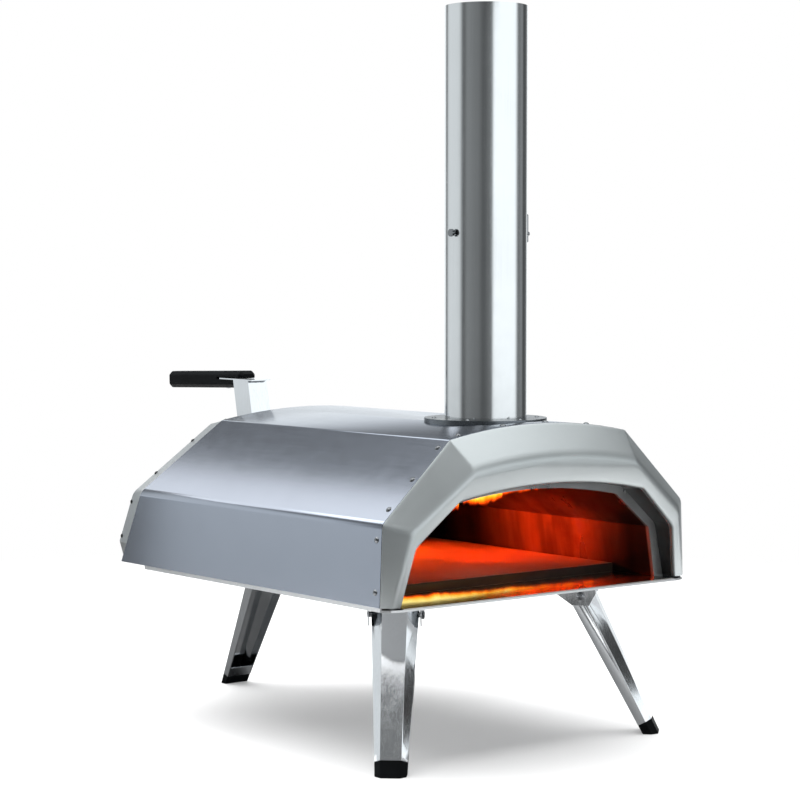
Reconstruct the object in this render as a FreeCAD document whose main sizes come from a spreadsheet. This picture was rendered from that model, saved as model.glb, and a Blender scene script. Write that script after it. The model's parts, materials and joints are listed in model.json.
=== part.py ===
"""Portable wood fired pizza oven with a chimney, three folding legs and a rear fuel hatch.

Millimetres. +Z is up, the mouth faces -Y, and the origin is on the floor under the middle of the
oven's bounding box. Every driving dimension is a named cell of the sheet "Dims".
"""
import FreeCAD, Part
import math
import os
import re
import Sketcher
from FreeCAD import Placement, Rotation, Vector

DIMENSIONS = [
    # Where the oven stands along Y, and the sheet metal it is made of
    ("shell_front", -333.5, "Y of the casing's front edge"),
    ("sheet", 1.2, "thickness of the casing, liner and surround sheets"),
    # Casing: upright sides, sloping shoulders, gently domed top
    ("shell_foot_half", 214.6, "half width at the bottom edge"),
    ("shell_foot_z", 177.0, "height of the bottom edge"),
    ("shell_side_half", 211.3, "half width where the side meets the shoulder"),
    ("shell_side_z", 261.0, "height where the side meets the shoulder"),
    ("shell_crease_half", 124.0, "half width where the shoulder meets the dome"),
    ("shell_crease_z", 342.0, "height where the shoulder meets the dome"),
    ("shell_top_z", 354.5, "height of the dome's centre line"),
    ("shell_foot_depth", 487.6, "front to rear along the bottom edge"),
    ("shell_rear_lean", 0.461, "how far the rear edge comes forward for each mm of height"),
    ("shell_bend", 12.0, "bend radius between side and shoulder"),
    ("shell_crease_bend", 4.0, "bend radius between shoulder and dome"),
    # Surround: ridge that stands forward of the casing, and the edge of the mouth
    ("ridge_foot_half", 204.0, "half width of the ridge at the bottom"),
    ("ridge_side_half", 187.0, "half width of the ridge at its side corner"),
    ("ridge_side_z", 254.0, "height of the ridge's side corner"),
    ("ridge_crease_half", 112.4, "half width of the ridge at its top corner"),
    ("ridge_crease_z", 311.0, "height of the ridge's top corner"),
    ("ridge_top_z", 321.0, "height of the ridge over the middle of the mouth"),
    ("ridge_foot_reach", 10.0, "how far the ridge stands forward at the bottom"),
    ("ridge_top_reach", 33.0, "how far the ridge stands forward at the top"),
    ("surround_seam", 0.7, "gap between the casing's front edge and the surround"),
    ("surround_bend", 16.0, "bend radius of the surround's side corners"),
    ("surround_crease_bend", 14.0, "bend radius of the surround's top corners"),
    ("surround_tuck", 15.0, "how far the surround's flange reaches back inside the casing"),
    ("mouth_foot_half", 193.0, "half width of the mouth at the bottom"),
    ("mouth_side_half", 181.0, "half width of the mouth at its side corner"),
    ("mouth_side_z", 235.0, "height of the mouth's side corner"),
    ("mouth_crease_half", 130.0, "half width of the mouth at its top corner"),
    ("mouth_crease_z", 279.0, "height of the mouth's top corner"),
    ("mouth_top_z", 292.0, "height of the mouth's top"),
    ("mouth_roll", 5.0, "how far the mouth's edge rolls back into the opening"),
    ("mouth_foot_reach", 9.0, "how far the mouth's edge stands forward at the bottom"),
    ("mouth_top_reach", 26.0, "how far the mouth's edge stands forward at the top"),
    # Liner: the inner walls of the baking chamber
    ("liner_set_back", 10.0, "from the casing's front edge to the liner's front flange"),
    ("liner_rear", 416.0, "from the casing's front edge to the liner's rear wall"),
    ("liner_foot_half", 180.5, "half width inside at the floor"),
    ("liner_side_half", 171.0, "half width inside at the side corner"),
    ("liner_side_z", 232.0, "height inside at the side corner"),
    ("liner_crease_half", 122.0, "half width inside at the top corner"),
    ("liner_crease_z", 271.5, "height inside at the top corner"),
    ("liner_top_z", 284.0, "height inside at the centre line"),
    # Base pan, floor and stone
    ("blanket_thick", 20.0, "thickness of the ceramic fibre blanket over the liner"),
    ("pan_under_z", 172.5, "underside of the base pan"),
    ("pan_sheet", 1.5, "thickness of the base pan and the fuel box"),
    ("pan_rim_z", 176.8, "top of the pan's turned-up rim"),
    ("pan_half", 212.5, "half width of the base pan"),
    ("pan_lip_reach", 11.0, "how far the pan's lip stands forward under the mouth"),
    ("pan_side_depth", 440.0, "length of the pan's straight sides"),
    ("pan_tail_half", 75.0, "half width of the pan's tail under the fuel box"),
    ("pan_tail_depth", 570.0, "from the casing's front edge to the tail's rear edge"),
    ("stone_set_back", 73.0, "from the casing's front edge to the stone's front edge"),
    ("stone_half", 178.0, "half width of the baking stone"),
    ("stone_length", 340.0, "length of the baking stone"),
    ("stone_thick", 10.0, "thickness of the baking stone"),
    # Fuel box at the rear, its tray and its hatch
    ("box_half", 70.0, "half width of the fuel box"),
    ("box_top_z", 298.0, "top of the fuel box"),
    ("box_front", 418.0, "from the casing's front edge to the box's open front"),
    ("box_rear", 565.0, "from the casing's front edge to the box's rear wall"),
    ("tray_port_top_z", 236.0, "top of the port that the fuel tray slides through"),
    ("tray_half", 60.0, "half width of the fuel tray"),
    ("tray_length", 128.0, "length of the fuel tray"),
    ("tray_height", 42.0, "height of the fuel tray"),
    ("hatch_half", 52.0, "half width of the hatch opening"),
    ("hatch_front", 480.0, "from the casing's front edge to the hatch opening"),
    ("hatch_rear", 552.0, "from the casing's front edge to the opening's far edge"),
    ("hatch_rise", 8.0, "height of the collar round the hatch opening"),
    # Chimney and damper
    ("chimney_back", 87.6, "from the casing's front edge to the chimney's axis"),
    ("chimney_radius", 44.5, "outer radius of the chimney tube"),
    ("chimney_wall", 1.2, "wall of the chimney tube"),
    ("chimney_top_z", 798.0, "top of the chimney tube"),
    ("flange_radius", 66.4, "outer radius of the chimney flange"),
    ("flange_top_z", 356.2, "top of the chimney flange"),
    ("spigot_gap", 0.3, "gap all round between the spigot and the tube"),
    ("spigot_top_z", 384.0, "top of the spigot that the tube slips over"),
    ("damper_z", 555.0, "height of the damper's spindle"),
    ("damper_radius", 41.0, "radius of the damper disc"),
    ("spindle_radius", 2.5, "radius of the damper's spindle"),
    ("lever_stand_off", 15.0, "from the tube's side to the damper lever's wire"),
    ("lever_wire", 1.4, "radius of the damper lever's wire"),
    ("running_gap", 0.05, "radial clearance of every pin in its hole"),
    # Legs
    ("leg_spread_x", 134.0, "X of a front leg's pivot"),
    ("leg_front_back", 76.0, "from the casing's front edge to a front leg's pivot"),
    ("leg_rear_back", 495.0, "from the casing's front edge to the rear leg's pivot"),
    ("leg_azimuth", 42.0, "turn of a front leg outward from straight ahead, degrees"),
    ("leg_lean", 26.6, "lean of a leg from upright, degrees"),
    ("pivot_z", 155.0, "height of the leg pivots"),
    ("pivot_radius", 3.0, "radius of the pivot bolts"),
    ("leg_web_top", 27.0, "width of the leg's web at the pivot"),
    ("leg_width_top", 51.5, "width of the leg at the pivot"),
    ("leg_depth_top", 27.6, "depth of the leg at the pivot"),
    ("leg_web_low", 21.7, "width of the leg's web at the foot"),
    ("leg_width_low", 34.5, "width of the leg at the foot"),
    ("leg_depth_low", 16.0, "depth of the leg at the foot"),
    ("leg_sheet", 1.5, "thickness of the leg's sheet"),
    ("foot_height", 13.5, "height of the plastic foot"),
    ("ear_gap", 26.8, "from the leg's centre line to the inside of a bracket ear"),
    ("ear_sheet", 1.5, "thickness of a bracket ear"),
    ("bracket_inward", 46.0, "reach of a bracket from the pivot toward the oven's middle"),
    ("bracket_outward", 17.0, "reach of a bracket from the pivot outward"),
    # Handle on the fuel hatch
    ("grip_front", 535.0, "from the casing's front edge to the grip's front end"),
    ("grip_rear", 699.9, "from the casing's front edge to the grip's rear end"),
    ("grip_height", 21.0, "height of the grip"),
    ("grip_width", 25.0, "width of the grip"),
    ("grip_bevel", 4.5, "bevel of the grip's long edges and of its ends"),
    ("grip_z", 381.5, "height of the grip's middle at its front end"),
    ("grip_fall", 2.0, "fall of the grip toward its rear end, degrees"),
    ("strut_width", 28.0, "width of the strut under the grip"),
    ("strut_lean", 0.2, "how far the strut leans back for each mm of height"),
    # Fasteners
    ("screw_head", 3.4, "head radius of the casing screws"),
    ("screw_head_rise", 2.0, "head height of the casing screws"),
    ("screw_shank", 1.6, "shank radius of the casing screws"),
]
NAMES = {name for name, value, note in DIMENSIONS}

doc = FreeCAD.newDocument("pizza_oven")
sheet = doc.addObject("Spreadsheet::Sheet", "Dims")
for row, (name, value, note) in enumerate(DIMENSIONS, start=1):
    sheet.set(f"A{row}", note)
    sheet.set(f"B{row}", str(value))
    sheet.setAlias(f"B{row}", name)
doc.recompute()
SUB_PARTS = []


def bound(text):
    """The expression with every dimension's name pointing at its cell."""
    return re.sub(r"[a-z_]+", lambda found: "Dims." + found[0] if found[0] in NAMES else found[0], text)


def size(text):
    """The expression's present value as a plain number."""
    return float(sheet.evalExpression(bound(text)))


# ---------------------------------------------------------------- building blocks

def new_body(label):
    """A PartDesign body for one sub-part."""
    body = doc.addObject("PartDesign::Body", label)
    body.Label = label
    SUB_PARTS.append(body)
    return body


def new_sketch(body, role, name, offset="0"):
    """A sketch on the body's own origin plane, moved along the plane's normal by an expression."""
    plane = next(item for item in body.Origin.OriginFeatures if item.Role == role)
    sketch = body.newObject("Sketcher::SketchObject", name)
    sketch.AttachmentSupport = (plane, "")
    sketch.MapMode = "FlatFace"
    sketch.setExpression("AttachmentOffset.Base.z", bound(offset))
    return sketch


def draw(sketch, corners):
    """Draws a closed outline whose corners are pairs of expressions.

    A third entry is the radius of the arc that runs counter-clockwise to the next corner.
    """
    first = sketch.GeometryCount
    places = [Vector(size(corner[0]), size(corner[1]), 0) for corner in corners]
    for index, corner in enumerate(corners):
        start = places[index]
        end = places[(index + 1) % len(places)]
        if len(corner) == 2:
            sketch.addGeometry(Part.LineSegment(start, end))
            continue
        radius = size(corner[2])
        chord = end - start
        inward = Vector(-chord.y, chord.x, 0).normalize()
        centre = (start + end) * 0.5 + inward * math.sqrt(radius ** 2 - (chord.Length / 2) ** 2)
        from_angle = math.atan2(start.y - centre.y, start.x - centre.x)
        to_angle = math.atan2(end.y - centre.y, end.x - centre.x)
        circle = Part.Circle(centre, Vector(0, 0, 1), radius)
        sketch.addGeometry(Part.ArcOfCircle(circle, from_angle, to_angle))
    for index, corner in enumerate(corners):
        edge = first + index
        following = first + (index + 1) % len(corners)
        sketch.addConstraint(Sketcher.Constraint("Coincident", edge, 2, following, 1))
        for axis, text in (("X", corner[0]), ("Y", corner[1])):
            rule = Sketcher.Constraint("Distance" + axis, -1, 1, edge, 1, size(text))
            number = sketch.addConstraint(rule)
            sketch.setExpression(f"Constraints[{number}]", bound(text))
        if len(corner) == 3:
            number = sketch.addConstraint(Sketcher.Constraint("Radius", edge, size(corner[2])))
            sketch.setExpression(f"Constraints[{number}]", bound(corner[2]))


def draw_circle(sketch, x, y, radius):
    """Draws a circle whose centre and radius are expressions."""
    circle = Part.Circle(Vector(size(x), size(y), 0), Vector(0, 0, 1), size(radius))
    edge = sketch.addGeometry(circle)
    for kind, text in (("DistanceX", x), ("DistanceY", y)):
        number = sketch.addConstraint(Sketcher.Constraint(kind, -1, 1, edge, 3, size(text)))
        sketch.setExpression(f"Constraints[{number}]", bound(text))
    number = sketch.addConstraint(Sketcher.Constraint("Radius", edge, size(radius)))
    sketch.setExpression(f"Constraints[{number}]", bound(radius))


def rectangle(x_from, x_to, y_from, y_to):
    """Corners of a rectangle, counter-clockwise."""
    return [(x_from, y_from), (x_to, y_from), (x_to, y_to), (x_from, y_to)]


def pad(body, sketch, length, reverse=False, midplane=False):
    """Adds the sketch's outline to the body over a length given by an expression."""
    feature = body.newObject("PartDesign::Pad", sketch.Name + "Pad")
    feature.Profile = sketch
    feature.setExpression("Length", bound(length))
    feature.Reversed = reverse
    feature.Midplane = midplane
    sketch.Visibility = False
    doc.recompute()
    return feature


def pocket(body, sketch, length, reverse=False, midplane=False):
    """Cuts the sketch's outline out of the body, and stops if nothing was cut."""
    before = body.Shape.Volume
    feature = body.newObject("PartDesign::Pocket", sketch.Name + "Cut")
    feature.Profile = sketch
    feature.setExpression("Length", bound(length))
    feature.Reversed = reverse
    feature.Midplane = midplane
    sketch.Visibility = False
    doc.recompute()
    if before - body.Shape.Volume < 1e-3:
        raise RuntimeError(f"{feature.Name} cuts nothing from {body.Label}")
    return feature


def hollow(body, feature, open_side, thickness):
    """Turns the solid into a sheet, open on each face whose outward normal open_side accepts."""
    faces = []
    for index, face in enumerate(feature.Shape.Faces, start=1):
        if open_side(face.normalAt(0, 0)):
            faces.append(f"Face{index}")
    shell = body.newObject("PartDesign::Thickness", body.Label + "_wall")
    shell.Base = (feature, faces)
    shell.setExpression("Value", bound(thickness))
    shell.Reversed = True
    shell.Join = 1
    doc.recompute()
    return shell


def round_edges(body, feature, chosen, radius):
    """Rounds each edge of the feature that the test accepts."""
    edges = []
    for index, edge in enumerate(feature.Shape.Edges, start=1):
        if chosen(edge):
            edges.append(f"Edge{index}")
    fillet = body.newObject("PartDesign::Fillet", body.Label + "_bend")
    fillet.Base = (feature, edges)
    fillet.setExpression("Radius", bound(radius))
    doc.recompute()
    return fillet


def place(label, kind, settings):
    """A Part primitive whose properties are bound to expressions."""
    thing = doc.addObject(kind, label)
    for name, text in settings.items():
        thing.setExpression(name, bound(text))
    return thing


def sub_part(label, shape):
    """A sub-part whose shape is made with Part's own functions."""
    thing = doc.addObject("Part::Feature", label)
    thing.Label = label
    thing.Shape = shape
    SUB_PARTS.append(thing)
    return thing


def boolean(label, kind, base, tool):
    """A sub-part made by cutting, joining or intersecting two primitives."""
    thing = doc.addObject(kind, label)
    thing.Label = label
    thing.Base = base
    thing.Tool = tool
    SUB_PARTS.append(thing)
    return thing


def named(thing, label):
    """Makes a single primitive a sub-part of its own."""
    thing.Label = label
    SUB_PARTS.append(thing)
    return thing


# ---------------------------------------------------------------- arch-shaped sheets

def dome_radius(half, top):
    """The radius of the dome that rises from the crease, the half outline's last point, to top."""
    crease_x, crease_z = half[-1]
    rise = top - crease_z
    return (crease_x ** 2 + rise ** 2) / (2 * rise)


def arch_chain(half, top, depth_at, bend=10.0, crown_bend=4.0):
    """The arch as nine edges from left foot to right foot: side, bend, shoulder, bend, dome and back.

    half is the right-hand half of the outline as (x, z) from foot to dome. The bend rounds the
    corner before its last point and the crown bend its last point, and depth_at gives the Y of
    each height.
    """
    before, corner, after = [Vector(x, 0, z) for x, z in half[-3:]]
    down = (before - corner).normalize()
    up = (after - corner).normalize()
    half_angle = down.getAngle(up) / 2
    reach = bend / math.tan(half_angle)
    middle = corner + (down + up).normalize() * (bend / math.sin(half_angle) - bend)
    inner, inner_top = moved_in(half, top, crown_bend)
    pivot = Vector(inner[-1][0], 0, inner[-1][1])
    outward = Vector(-up.z, 0, up.x)
    if outward.x < 0:
        outward = outward.negative()
    radial = (pivot - Vector(0, 0, top - dome_radius(half, top))).normalize()
    crown_start = pivot + outward * crown_bend
    crown_middle = pivot + (outward + radial).normalize() * crown_bend
    crown_end = pivot + radial * crown_bend
    flat = [Vector(x, 0, z) for x, z in half[:-2]]
    flat += [corner + down * reach, middle, corner + up * reach, crown_start, crown_middle, crown_end]
    right = [Vector(point.x, depth_at(point.z), point.z) for point in flat]
    left = [Vector(-point.x, point.y, point.z) for point in right]
    crown = Vector(0, depth_at(top), top)

    def side_of(points):
        straight = [Part.LineSegment(a, b).toShape() for a, b in zip(points[:-6], points[1:-5])]
        rounded = Part.Arc(points[-6], points[-5], points[-4]).toShape()
        shoulder = Part.LineSegment(points[-4], points[-3]).toShape()
        return straight + [rounded, shoulder, Part.Arc(points[-3], points[-2], points[-1]).toShape()]

    edges = side_of(left)
    edges.append(Part.Arc(left[-1], crown, right[-1]).toShape())
    edges += side_of(right)[::-1]
    return edges, left[0], right[0]


def arch_sheet(chains):
    """The closed solid whose skin runs from each arch to the next and back to the first."""
    faces = []
    for (edges, left, right), (next_edges, next_left, next_right) in zip(chains, chains[1:] + chains[:1]):
        for edge, next_edge in zip(edges, next_edges):
            faces.append(Part.makeRuledSurface(edge, next_edge))
    for foot in (1, 2):
        corners = [chain[foot] for chain in chains]
        faces.append(Part.Face(Part.makePolygon(corners + corners[:1])))
    skin = Part.makeShell(faces)
    skin.sewShape()
    solid = Part.makeSolid(skin)
    if solid.Volume < 0:
        solid.reverse()
    return solid


def moved_in(half, top, distance):
    """The half outline and its top moved inward by a distance, with the foot's height kept."""
    lines = []
    for (x0, z0), (x1, z1) in zip(half, half[1:]):
        length = math.hypot(x1 - x0, z1 - z0)
        normal = ((z0 - z1) / length, (x1 - x0) / length)
        lines.append((x0 + normal[0] * distance, z0 + normal[1] * distance, x1 - x0, z1 - z0))
    x, z, run, rise = lines[0]
    moved = [(x + run * (half[0][1] - z) / rise, half[0][1])]
    for (xa, za, ua, va), (xb, zb, ub, vb) in zip(lines, lines[1:]):
        share = ((xb - xa) * vb - (zb - za) * ub) / (ua * vb - va * ub)
        moved.append((xa + ua * share, za + va * share))
    radius = dome_radius(half, top)
    centre_z = top - radius
    x, z, run, rise = lines[-1]
    length = math.hypot(run, rise)
    along = (x * run + (z - centre_z) * rise) / length
    gap = x ** 2 + (z - centre_z) ** 2 - (radius - distance) ** 2
    share = (-along + math.sqrt(along ** 2 - gap)) / length
    moved.append((x + run * share, z + rise * share))
    return moved, top - distance


def across(a, b, share):
    """The point at a share of the way from a to b, both (x, z)."""
    return (a[0] + (b[0] - a[0]) * share, a[1] + (b[1] - a[1]) * share)


def level(y):
    """A depth that is the same at every height."""
    return lambda z: y


def leaning(foot_y, top_y, top_z):
    """A depth that runs straight from foot_y at the casing's foot to top_y at top_z."""
    foot_z = size("shell_foot_z")
    return lambda z: foot_y + (top_y - foot_y) * (z - foot_z) / (top_z - foot_z)


def half_outline(prefix):
    """The right-hand half outline of the casing, ridge, mouth or liner."""
    foot = (size(prefix + "_foot_half"), size("shell_foot_z"))
    side = (size(prefix + "_side_half"), size(prefix + "_side_z"))
    crease = (size(prefix + "_crease_half"), size(prefix + "_crease_z"))
    return [foot, side, crease]


def outline(prefix, inset="0", foot_z="shell_foot_z"):
    """The whole outline as sketch corners, moved inward by an expression."""
    half = f"({prefix}_crease_half - ({inset}) * 0.7)"
    crease_z = f"{prefix}_crease_z - ({inset})"
    rise = f"({prefix}_top_z - {prefix}_crease_z)"
    radius = f"({half}^2 + {rise}^2) / (2 * {rise})"
    side_half = f"{prefix}_side_half - ({inset})"
    side_z = f"{prefix}_side_z - ({inset}) * 0.6"
    foot_half = f"{prefix}_foot_half - ({inset})"
    return [
        (f"-({foot_half})", foot_z),
        (foot_half, foot_z),
        (side_half, side_z),
        (half, crease_z, radius),
        (f"-{half}", crease_z),
        (f"-({side_half})", side_z),
    ]


FRONT = size("shell_front")
SHEET = size("sheet")


def rear_depth(set_back=0.0):
    """The Y of the casing's leaning rear edge at each height, or of a plane behind it."""
    foot = FRONT + size("shell_foot_depth") + set_back
    lean = size("shell_rear_lean")
    foot_z = size("shell_foot_z")
    return lambda z: foot - lean * (z - foot_z)


# ---------------------------------------------------------------- casing and chamber

def outer_shell():
    """The wrapped casing: sides, shoulders and dome in one sheet, with a leaning rear edge."""
    body = new_body("outer_shell")
    section = new_sketch(body, "XZ_Plane", "shell_section", "-(shell_front)")
    draw(section, outline("shell"))
    block = pad(body, section, "shell_foot_depth + 1", reverse=True)
    trim = new_sketch(body, "YZ_Plane", "shell_rear_edge")
    rise = "(shell_top_z + 10 - shell_foot_z)"
    draw(trim, [
        ("shell_front + shell_foot_depth", "shell_foot_z"),
        ("shell_front + shell_foot_depth + 20", "shell_foot_z"),
        ("shell_front + shell_foot_depth + 20", "shell_top_z + 10"),
        (f"shell_front + shell_foot_depth - shell_rear_lean * {rise}", "shell_top_z + 10"),
    ])
    block = pocket(body, trim, "2 * shell_foot_half + 10", midplane=True)
    side_half = size("shell_side_half")

    def is_side_bend(edge):
        return all(abs(abs(point.Point.x) - side_half) < 0.1 for point in edge.Vertexes)

    crease_half = size("shell_crease_half")

    def is_crease(edge):
        ends = [vertex.Point for vertex in edge.Vertexes]
        return all(abs(abs(end.x) - crease_half) < 0.1 for end in ends) and ends[0].x * ends[1].x > 0

    block = round_edges(body, block, is_side_bend, "shell_bend")
    block = round_edges(body, block, is_crease, "shell_crease_bend")

    def is_open(normal):
        return normal.z < -0.9 or abs(normal.y) > 0.3

    hollow(body, block, is_open, "sheet")
    hole = new_sketch(body, "XY_Plane", "shell_flue_hole", "shell_crease_z - 10")
    draw_circle(hole, "0", "shell_front + chimney_back", "chimney_radius + 1.5")
    pocket(body, hole, "40", reverse=True)


def mouth_arch():
    """The mouth's edge: its half outline, top, and the Y of its foot and its top."""
    foot_y = FRONT - size("mouth_foot_reach")
    return half_outline("mouth"), size("mouth_top_z"), foot_y, FRONT - size("mouth_top_reach")


def between(a, b, share):
    """The arch at a share of the way from arch a to arch b."""
    half = [across(p, q, share) for p, q in zip(a[0], b[0])]
    return (half,) + tuple(p + (q - p) * share for p, q in zip(a[1:], b[1:]))


def shifted(arch, inward, back):
    """The arch moved inward in its own plane and back along Y."""
    half, top, foot_y, top_y = arch
    half, top = moved_in(half, top, inward)
    return half, top, foot_y + back, top_y + back


def rounded(a, corner, b, steps=4):
    """Arches along the curve that leaves a, bends round the corner and arrives at b."""
    curve = []
    for step in range(steps + 1):
        share = step / steps
        curve.append(between(between(a, corner, share), between(corner, b, share), share))
    return curve


def chain_of(arch, bend, crown_bend):
    """The arch's edges, with its corners rounded."""
    half, top, foot_y, top_y = arch
    return arch_chain(half, top, leaning(foot_y, top_y, top), bend, crown_bend)


def front_surround():
    """The pressed frame round the mouth: a flange inside the casing, a ridge and a rolled-in edge."""
    seam = size("surround_seam")
    rim = (half_outline("shell"), size("shell_top_z"), FRONT - seam, FRONT - seam)
    foot_y = FRONT - size("ridge_foot_reach")
    ridge = (half_outline("ridge"), size("ridge_top_z"), foot_y, FRONT - size("ridge_top_reach"))
    mouth = mouth_arch()
    rolled = shifted(mouth, 0, size("mouth_roll"))
    shell_bend = size("shell_bend")
    shell_crease = size("shell_crease_bend")
    bend = size("surround_bend")
    crease = size("surround_crease_bend")
    skin = [(shifted(rim, 0.2 * SHEET, 0), shell_bend, shell_crease)]
    skin += [(between(rim, ridge, 0.08), shell_bend, shell_crease + 1)]
    over_ridge = rounded(between(rim, ridge, 0.76), ridge, between(ridge, mouth, 0.3))
    into_mouth = rounded(between(ridge, mouth, 0.8), mouth, rolled)
    skin += [(arch, bend, crease) for arch in over_ridge + into_mouth]
    count = len(skin)
    inside = []
    for number, (arch, side_bend, crown_bend) in enumerate(skin):
        turned = number / (count - 1)
        inward = SHEET * (1 - 2 * turned)
        back = SHEET * min(1, 2 * turned, 3 * (1 - turned))
        inside.append((shifted(arch, inward, back), side_bend, crown_bend))
    flange_out = shifted(rim, SHEET + 0.3, seam - 0.1)
    flange_in = shifted(rim, 2 * SHEET + 0.3, seam + 0.7)
    tuck = size("surround_tuck")
    chains = [chain_of(*entry) for entry in skin + inside[:0:-1]]
    chains += [
        chain_of(flange_in, shell_bend, shell_crease),
        chain_of(shifted(flange_in, 0, tuck), shell_bend, shell_crease),
        chain_of(shifted(flange_out, 0, tuck), shell_bend, shell_crease),
        chain_of(flange_out, shell_bend, shell_crease),
        chain_of(shifted(rim, 0.2 * SHEET, 0.5 * seam), shell_bend, shell_crease),
    ]
    sub_part("front_surround", arch_sheet(chains))


def mouth_return():
    """The dark collar that runs from the mouth's rolled edge back to the liner's flange."""
    front = shifted(mouth_arch(), 0, size("mouth_roll") + 0.4)
    half, top, foot_y, top_y = front
    back_y = FRONT + size("liner_set_back")
    back = (half, top, back_y, back_y)
    bend = size("surround_bend")
    crease = size("surround_crease_bend")
    arches = [front, back, shifted(back, -SHEET, 0), shifted(front, -SHEET, 0)]
    sub_part("mouth_return", arch_sheet([chain_of(arch, bend, crease) for arch in arches]))


def inner_liner():
    """The chamber's sheet: walls, ceiling, a rear wall with the flame opening, a front flange."""
    body = new_body("inner_liner")
    floor_z = "pan_under_z + 2 * pan_sheet"
    section = new_sketch(body, "XZ_Plane", "liner_section", "-(shell_front + liner_set_back)")
    draw(section, outline("liner", "-sheet", floor_z))
    block = pad(body, section, "liner_rear - liner_set_back", reverse=True)

    def is_open(normal):
        return normal.z < -0.9 or normal.y < -0.9

    hollow(body, block, is_open, "sheet")
    flange = new_sketch(body, "XZ_Plane", "liner_flange", "-(shell_front + liner_set_back)")
    draw(flange, outline("mouth", "-sheet", floor_z))
    pad(body, flange, "sheet", reverse=True)
    mouth = new_sketch(body, "XZ_Plane", "liner_mouth", "-(shell_front + liner_set_back - 1)")
    draw(mouth, outline("liner", "0", floor_z))
    pocket(body, mouth, "sheet + 1.5")
    port = new_sketch(body, "XZ_Plane", "flame_opening", "-(shell_front + liner_rear - 6)")
    draw(port, rectangle("-(box_half - 6)", "box_half - 6", "pan_under_z + 6", "liner_crease_z - 8"))
    pocket(body, port, "12")
    hole = new_sketch(body, "XY_Plane", "liner_flue_hole", "liner_crease_z - 8")
    flue = "chimney_radius - chimney_wall - spigot_gap"
    draw_circle(hole, "0", "shell_front + chimney_back", flue + " + 0.1")
    pocket(body, hole, "40", reverse=True)


def insulation_arch():
    """The ceramic fibre blanket that lies over the liner's walls and ceiling."""
    clear = SHEET + 1.3
    inner = moved_in(half_outline("liner"), size("liner_top_z"), -clear)
    outer = moved_in(half_outline("liner"), size("liner_top_z"), -clear - size("blanket_thick"))
    front = level(FRONT + 20)
    back = level(FRONT + 388)
    blanket = arch_sheet([
        arch_chain(*outer, front),
        arch_chain(*inner, front),
        arch_chain(*inner, back),
        arch_chain(*outer, back),
    ])
    axis = Vector(0, FRONT + size("chimney_back"), size("liner_crease_z"))
    flue = Part.makeCylinder(size("chimney_radius + 2"), 100, axis)
    sub_part("insulation_arch", blanket.cut(flue))


def base_pan():
    """The flat base with a low turned-up rim, a lip under the mouth and a tail under the fuel box."""
    body = new_body("base_pan")

    def plan(inset):
        side = f"pan_half - {inset}"
        tail = f"pan_tail_half - {inset}"
        lip = f"shell_front - pan_lip_reach + {inset}"
        return [
            (f"-(mouth_foot_half - {inset})", lip),
            (f"mouth_foot_half - {inset}", lip),
            (f"ridge_foot_half + 2 - {inset}", f"shell_front - 8 + {inset}"),
            (side, f"shell_front + 2 + 0.5 * {inset}"),
            (side, f"shell_front + pan_side_depth - {inset}"),
            (tail, f"shell_front + pan_side_depth + 48 - {inset}"),
            (tail, f"shell_front + pan_tail_depth - {inset}"),
            (f"-({tail})", f"shell_front + pan_tail_depth - {inset}"),
            (f"-({tail})", f"shell_front + pan_side_depth + 48 - {inset}"),
            (f"-({side})", f"shell_front + pan_side_depth - {inset}"),
            (f"-({side})", f"shell_front + 2 + 0.5 * {inset}"),
            (f"-(ridge_foot_half + 2 - {inset})", f"shell_front - 8 + {inset}"),
        ]

    outer = new_sketch(body, "XY_Plane", "pan_plan", "pan_under_z")
    draw(outer, plan("0"))
    pad(body, outer, "pan_rim_z - pan_under_z")
    inner = new_sketch(body, "XY_Plane", "pan_inside", "pan_rim_z")
    draw(inner, plan("sheet"))
    pocket(body, inner, "pan_rim_z - pan_under_z - pan_sheet")
    lip = new_sketch(body, "XY_Plane", "pan_lip_cut", "pan_rim_z")
    lip_half = "(pan_half - 1)"
    draw(lip, rectangle(f"-{lip_half}", lip_half, "shell_front - 20", "shell_front + 11"))
    pocket(body, lip, "pan_rim_z - pan_under_z - pan_sheet - 0.8")
    tail = new_sketch(body, "XY_Plane", "pan_tail_cut", "pan_rim_z")
    rear = "shell_front + pan_tail_depth"
    draw(tail, rectangle("-(tray_half + 8)", "tray_half + 8", rear + " - 3", rear + " + 5"))
    pocket(body, tail, "pan_rim_z - pan_under_z - pan_sheet")


def liner_floor():
    """The chamber's floor sheet: under the stone, and a polished ledge in front of it."""
    body = new_body("liner_floor")
    plan = new_sketch(body, "XY_Plane", "floor_plan", "pan_under_z + pan_sheet")
    lip = "shell_front - pan_lip_reach + sheet + 0.3"
    step = "shell_front + liner_set_back - 1"
    rear = "shell_front + liner_rear - 6"
    wide = "mouth_foot_half - 1.5"
    narrow = "liner_foot_half - 1"
    draw(plan, [
        (f"-({wide})", lip),
        (wide, lip),
        (wide, step),
        (narrow, step),
        (narrow, rear),
        (f"-({narrow})", rear),
        (f"-({narrow})", step),
        (f"-({wide})", step),
    ])
    pad(body, plan, "pan_sheet")


def baking_stone():
    """The square stone that the pizza bakes on, with its edges eased."""
    body = new_body("baking_stone")
    plan = new_sketch(body, "XY_Plane", "stone_plan", "pan_under_z + 2 * pan_sheet")
    front = "shell_front + stone_set_back"
    draw(plan, rectangle("-stone_half", "stone_half", front, front + " + stone_length"))
    block = pad(body, plan, "stone_thick")
    round_edges(body, block, lambda edge: True, "1.2")


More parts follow.
